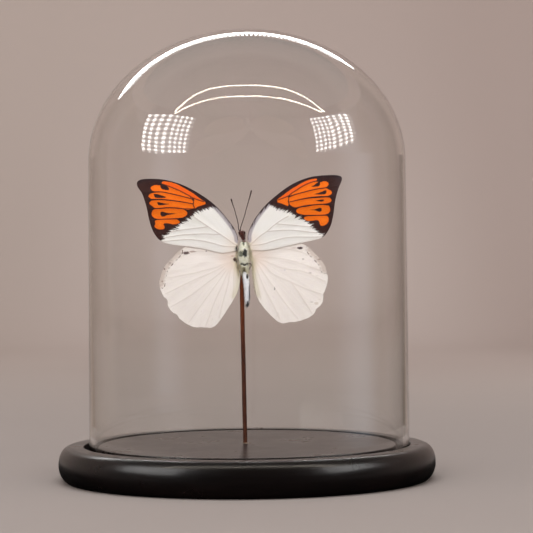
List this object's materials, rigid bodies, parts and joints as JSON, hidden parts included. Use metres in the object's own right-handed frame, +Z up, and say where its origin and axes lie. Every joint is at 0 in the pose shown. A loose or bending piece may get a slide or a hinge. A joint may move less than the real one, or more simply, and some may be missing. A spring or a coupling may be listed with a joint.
{
  "type": "mounted butterfly under a glass dome",
  "caption": "Spread butterfly mounted upright on a pointed stick, on a round turned wooden base, under a glass dome that stands in the base's groove.",
  "frame": {"origin": "centre of the base's underside, on the surface it stands on", "axes": "+Z up through the dome, -Y towards the viewer, who sees the upper side of the wings, +X to the viewer's right"},
  "size_m": [0.1632, 0.1633, 0.1949],
  "materials": {
    "dark_wood": "near-black brown stain, satin varnish",
    "clear_glass": "clear blown glass, polished edge",
    "stained_stick": "reddish-brown stain, satin",
    "head_cuticle": "dry red-brown cuticle with short hair",
    "body_hair": "dry cuticle under pale greenish hair",
    "forewing_scales": "powdery scales, white with an orange and black-brown tip",
    "hindwing_scales": "powdery cream-white scales",
    "feeler_cuticle": "dry brown cuticle"
  },
  "bodies": {
    "root": {"base": "dark_wood", "dome": "clear_glass", "stick": "stained_stick", "head": "head_cuticle", "thorax": "body_hair", "abdomen": "body_hair", "left_forewing": "forewing_scales", "right_forewing": "forewing_scales", "left_hindwing": "hindwing_scales", "right_hindwing": "hindwing_scales", "left_antenna": "feeler_cuticle", "right_antenna": "feeler_cuticle"}
  },
  "joints": []
}
